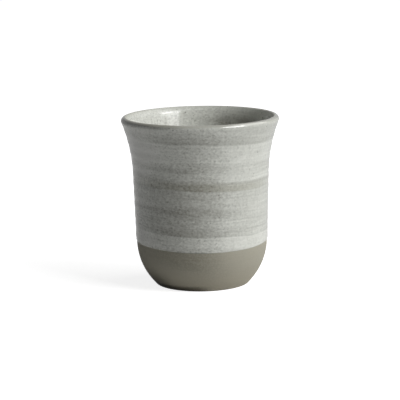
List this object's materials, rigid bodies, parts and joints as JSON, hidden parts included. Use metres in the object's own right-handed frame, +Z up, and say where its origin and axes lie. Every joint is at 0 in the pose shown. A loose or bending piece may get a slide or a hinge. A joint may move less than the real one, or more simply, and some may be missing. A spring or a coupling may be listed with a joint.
{
  "type": "handleless cup",
  "caption": "Handleless stoneware cup with a flared lip, a bare clay foot and belly, and a pale brushed glaze outside and inside.",
  "frame": {"origin": "centre of the foot ring's underside, on the table", "axes": "+Z up along the cup's axis; the cup is a body of revolution, so +X and +Y are free"},
  "size_m": [0.0836, 0.0836, 0.09],
  "materials": {
    "bare_stoneware": "matt, unglazed, with fine turning lines",
    "outer_glaze": "glossy pale grey, speckled, with brushed bands",
    "liner_glaze": "glossy pale grey, speckled"
  },
  "bodies": {
    "root": {"stoneware_body": "bare_stoneware", "outer_glaze": "outer_glaze", "liner_glaze": "liner_glaze"}
  },
  "joints": []
}
